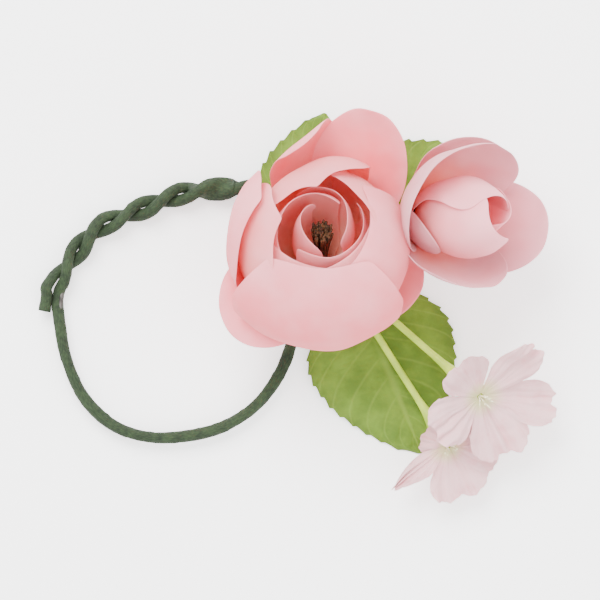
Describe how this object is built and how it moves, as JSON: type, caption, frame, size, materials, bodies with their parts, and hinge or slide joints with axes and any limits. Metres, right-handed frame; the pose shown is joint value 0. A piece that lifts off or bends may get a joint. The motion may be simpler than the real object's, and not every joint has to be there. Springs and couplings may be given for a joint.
{
  "type": "flower hair ring",
  "caption": "Bendable taped-wire hair ring twisted shut, with a cloth rose, rose bud, blossoms on plastic stems and serrated leaves bound to one side.",
  "frame": {"origin": "centre of the ring's opening, in the mid-plane of its wires", "axes": "+Z is the side the flowers face, along the ring's axis; +X runs from the ring towards the bud; +Y towards the twisted side"},
  "size_m": [0.1339, 0.1006, 0.0497],
  "materials": {
    "iron_wire": "dull annealed wire",
    "green_tape": "waxed crepe paper tape, matte with a faint sheen",
    "rose_cloth": "stiffened polyester cloth, matte",
    "bud_cloth": "stiffened polyester cloth, matte",
    "heart_threads": "brown thread ends, matte",
    "blossom_cloth": "thin crinkled polyester cloth, matte",
    "stamen_threads": "fine waxed thread",
    "stem_plastic": "moulded polyethylene, satin",
    "leaf_cloth": "printed and pressed polyester cloth, matte",
    "leaf_wire": "plastic coated wire, satin"
  },
  "bodies": {
    "ring": {"twist_wire": "iron_wire", "twist_wire_tape": "green_tape", "loop_wire": "iron_wire", "loop_wire_tape": "green_tape", "flower_binding_tape": "green_tape", "bud_stem_lower": "green_tape"},
    "rose": {"rose_stem": "green_tape", "rose_calyx": "green_tape", "rose_heart": "heart_threads", "rose_outer_petal_1": "rose_cloth", "rose_outer_petal_2": "rose_cloth", "rose_outer_petal_3": "rose_cloth", "rose_outer_petal_4": "rose_cloth", "rose_outer_petal_5": "rose_cloth", "rose_outer_petal_6": "rose_cloth", "rose_outer_petal_7": "rose_cloth", "rose_middle_petal_1": "rose_cloth", "rose_middle_petal_2": "rose_cloth", "rose_middle_petal_3": "rose_cloth", "rose_middle_petal_4": "rose_cloth", "rose_middle_petal_5": "rose_cloth", "rose_whorl_petal_1": "rose_cloth", "rose_whorl_petal_2": "rose_cloth", "rose_whorl_petal_3": "rose_cloth", "rose_whorl_petal_4": "rose_cloth"},
    "bud": {"bud_stem_upper": "green_tape", "bud_calyx": "green_tape", "bud_core": "bud_cloth", "bud_outer_petal_1": "bud_cloth", "bud_outer_petal_2": "bud_cloth", "bud_outer_petal_3": "bud_cloth", "bud_outer_petal_4": "bud_cloth", "bud_outer_petal_5": "bud_cloth", "bud_inner_petal_1": "bud_cloth", "bud_inner_petal_2": "bud_cloth", "bud_inner_petal_3": "bud_cloth"},
    "blossom_front": {"blossom_front_stem": "stem_plastic", "blossom_front_calyx": "stem_plastic", "blossom_front_corolla": "blossom_cloth", "blossom_front_stamens": "stamen_threads"},
    "blossom_back": {"blossom_back_stem": "stem_plastic", "blossom_back_calyx": "stem_plastic", "blossom_back_corolla": "blossom_cloth", "blossom_back_stamens": "stamen_threads"},
    "leaf_large": {"leaf_large_blade": "leaf_cloth", "leaf_large_stem": "leaf_wire"},
    "leaf_left": {"leaf_left_blade": "leaf_cloth", "leaf_left_stem": "leaf_wire"},
    "leaf_right": {"leaf_right_blade": "leaf_cloth", "leaf_right_stem": "leaf_wire"}
  },
  "joints": [
    {"name": "rose_tilt", "type": "hinge", "parent": "ring", "child": "rose", "pos_m": [0.0362, 0.01, 0.0036], "axis": [0, -1, 0], "range_deg": [0, 12]},
    {"name": "bud_nod", "type": "hinge", "parent": "ring", "child": "bud", "pos_m": [0.0594, 0.0234, 0.0084], "axis": [-0.1045, 0.9945, 0], "range_deg": [0, 15]},
    {"name": "blossom_front_swing", "type": "hinge", "parent": "ring", "child": "blossom_front", "pos_m": [0.038, 0.0068, 0.0004], "axis": [0, 0, 1], "range_deg": [0, 12]},
    {"name": "blossom_back_swing", "type": "hinge", "parent": "ring", "child": "blossom_back", "pos_m": [0.038, 0.0036, 0.0004], "axis": [0, 0, -1], "range_deg": [0, 15]},
    {"name": "leaf_large_bend", "type": "hinge", "parent": "ring", "child": "leaf_large", "pos_m": [0.038, 0.01, -0.0002], "axis": [0.927, 0.375, 0], "range_deg": [0, 20]},
    {"name": "leaf_left_bend", "type": "hinge", "parent": "ring", "child": "leaf_left", "pos_m": [0.0304, 0.0152, 0.0035], "axis": [0.9659, -0.259, 0], "range_deg": [0, 10]},
    {"name": "leaf_right_bend", "type": "hinge", "parent": "ring", "child": "leaf_right", "pos_m": [0.038, 0.0164, 0.0002], "axis": [-0.4691, 0.8832, 0], "range_deg": [0, 20]}
  ]
}
